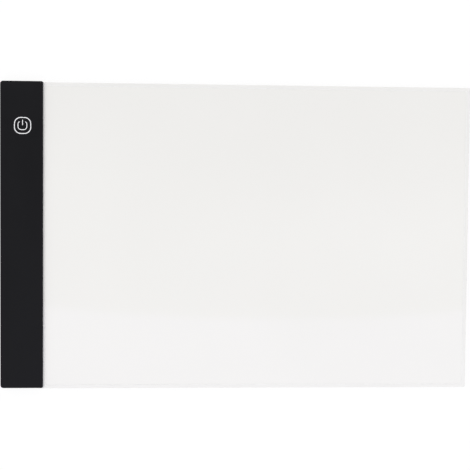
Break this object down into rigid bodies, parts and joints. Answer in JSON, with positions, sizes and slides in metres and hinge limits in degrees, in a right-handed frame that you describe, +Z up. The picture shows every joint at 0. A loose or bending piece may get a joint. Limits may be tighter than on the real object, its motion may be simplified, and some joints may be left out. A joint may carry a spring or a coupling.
{
  "type": "led tracing pad",
  "caption": "Slim LED tracing pad: a white edge-lit drawing panel held along one short side by a black control bar with a touch key and a supply socket.",
  "frame": {"origin": "on the table plane under the middle of the pad, midway along its length and midway along the bar", "axes": "+X along the pad's long side, away from the control bar; +Y along the bar, towards the end with the touch key and the supply socket; +Z up out of the tracing surface"},
  "size_m": [0.239, 0.1553, 0.0059],
  "materials": {
    "black_plastic": "satin moulded",
    "white_plastic": "satin moulded",
    "front_sheet": "smooth translucent acrylic",
    "diffuser_film": "frosted film",
    "light_guide": "polished clear acrylic",
    "reflector_film": "white film",
    "adhesive_tape": "tissue tape",
    "strip_board": "white solder mask",
    "led_package": "phosphor in a white frame",
    "circuit_board": "green solder mask",
    "conductive_foam": "carbon-filled foam",
    "chip_epoxy": "moulded epoxy",
    "capacitor_ceramic": "unglazed",
    "resistor_ceramic": "glazed",
    "socket_steel": "plated sheet",
    "socket_insert": "moulded",
    "red_insulation": "extruded",
    "black_insulation": "extruded",
    "screw_steel": "black zinc plated",
    "foot_rubber": "matt moulded"
  },
  "bodies": {
    "root": {"bar_top_cover": "black_plastic", "bar_bottom_cover": "black_plastic", "rear_tray": "white_plastic", "front_panel": "front_sheet", "diffuser_film": "diffuser_film", "light_guide": "light_guide", "reflector_film": "reflector_film", "front_tape": "adhesive_tape", "led_strip_board": "strip_board", "led_01": "led_package", "led_02": "led_package", "led_03": "led_package", "led_04": "led_package", "led_05": "led_package", "led_06": "led_package", "led_07": "led_package", "led_08": "led_package", "led_09": "led_package", "led_10": "led_package", "led_11": "led_package", "led_12": "led_package", "led_13": "led_package", "led_14": "led_package", "led_15": "led_package", "led_16": "led_package", "led_17": "led_package", "led_18": "led_package", "led_19": "led_package", "led_20": "led_package", "led_21": "led_package", "led_22": "led_package", "led_23": "led_package", "led_24": "led_package", "control_board": "circuit_board", "touch_foam": "conductive_foam", "touch_chip": "chip_epoxy", "dimmer_transistor": "chip_epoxy", "supply_capacitor": "capacitor_ceramic", "timing_capacitor": "capacitor_ceramic", "limit_resistor_1": "resistor_ceramic", "limit_resistor_2": "resistor_ceramic", "usb_shell": "socket_steel", "usb_tongue": "socket_insert", "red_wire": "red_insulation", "black_wire": "black_insulation", "bar_screw_1": "screw_steel", "bar_screw_2": "screw_steel", "bar_screw_3": "screw_steel", "bar_screw_4": "screw_steel", "foot_1": "foot_rubber", "foot_2": "foot_rubber", "foot_3": "foot_rubber", "foot_4": "foot_rubber"}
  },
  "joints": []
}
